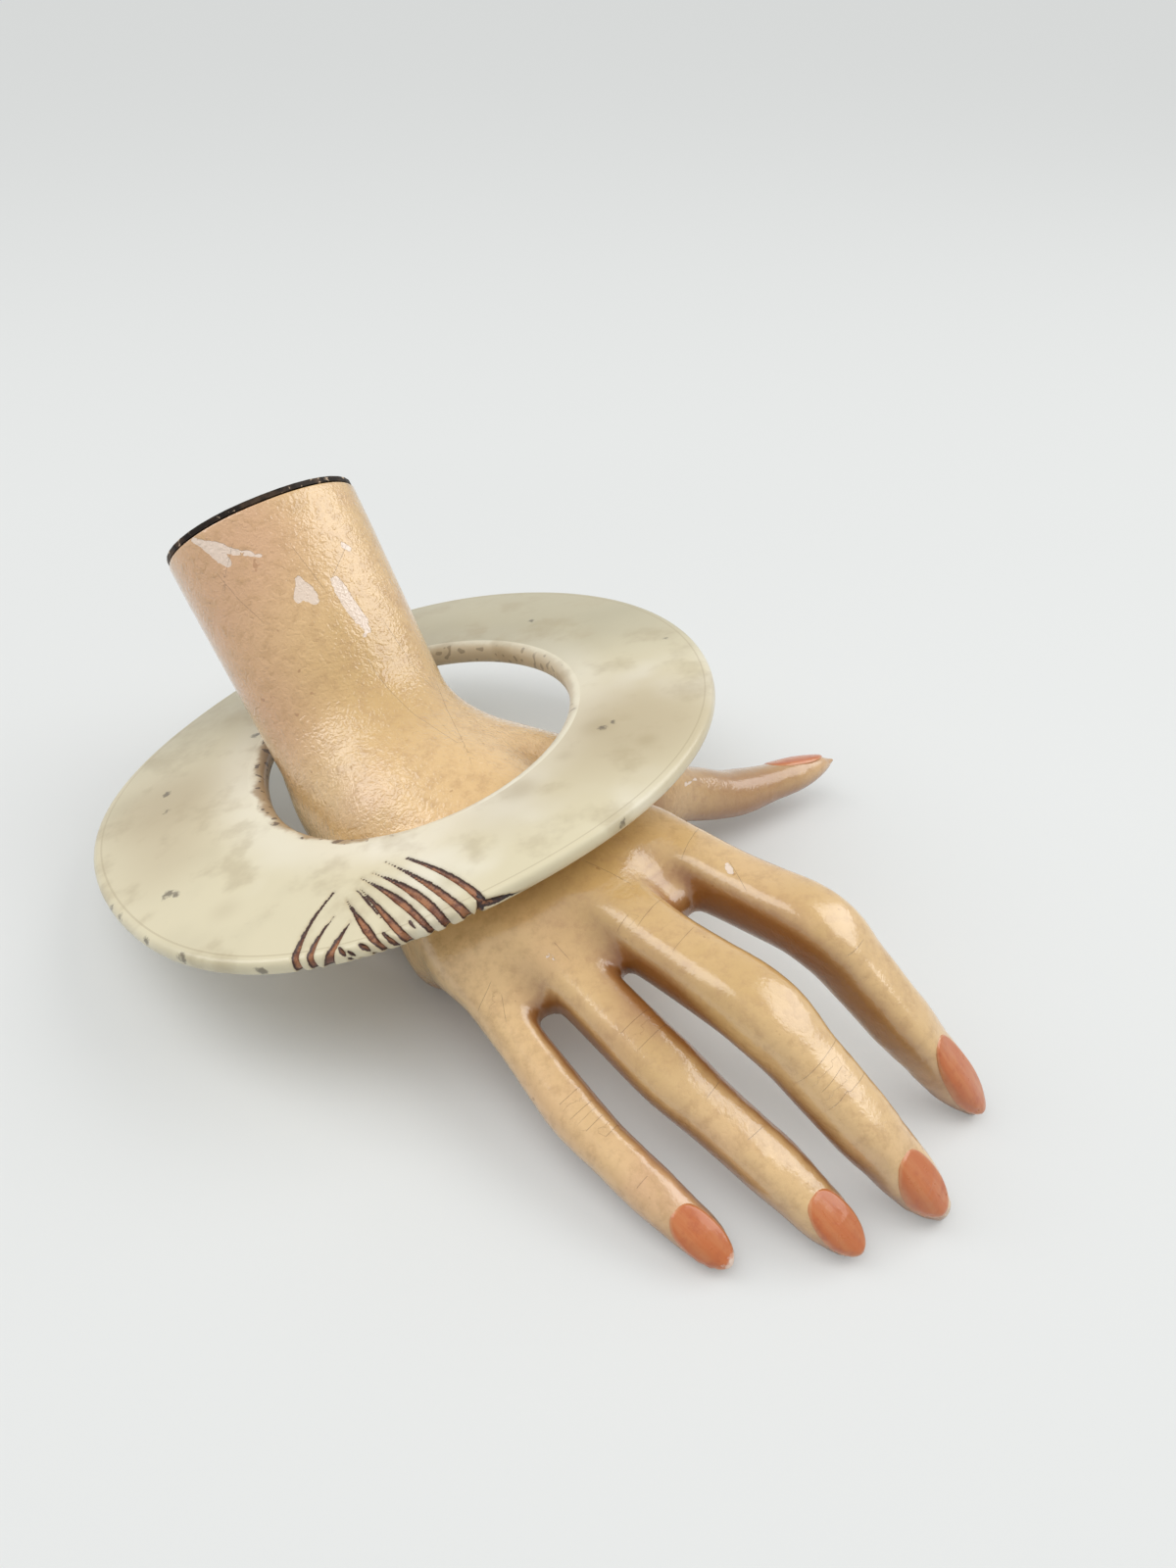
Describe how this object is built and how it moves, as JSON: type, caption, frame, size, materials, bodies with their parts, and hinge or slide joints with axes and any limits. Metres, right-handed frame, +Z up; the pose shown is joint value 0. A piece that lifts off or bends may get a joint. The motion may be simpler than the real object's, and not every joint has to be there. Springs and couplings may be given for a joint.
{
  "type": "display hand with disc bangle",
  "caption": "Life-size painted display hand lying palm down on its heel and fingertips, with a wide disc bangle loose round the wrist.",
  "frame": {"origin": "centre of the footprint of hand and bangle, on the table plane that the hand rests on", "axes": "+Z up; the fingers point towards +X and -Y, the wrist rises towards -X and +Y"},
  "size_m": [0.208, 0.2038, 0.091],
  "materials": {
    "flesh_paint": "aged gloss paint on a moulded composition casting",
    "plug_wood": "bare softwood",
    "plate_steel": "blackened, partly painted over",
    "screw_steel": "dull countersunk wood screws",
    "wire_steel": "annealed wire",
    "bangle_lacquer": "aged cream lacquer on a turned wooden disc"
  },
  "bodies": {
    "hand": {"hand_casting": "flesh_paint", "wrist_plug": "plug_wood", "wrist_plate": "plate_steel", "plate_screw_1": "screw_steel", "plate_screw_2": "screw_steel", "plate_screw_3": "screw_steel", "thumb_wire": "wire_steel", "index_wire": "wire_steel", "middle_wire": "wire_steel", "ring_wire": "wire_steel", "little_wire": "wire_steel"},
    "bangle": {"bangle": "bangle_lacquer"}
  },
  "joints": [
    {"name": "bangle_slide", "type": "slide", "parent": "hand", "child": "bangle", "axis": [-0.5014, 0.6017, 0.6217], "range_m": [0, 0.11]}
  ]
}
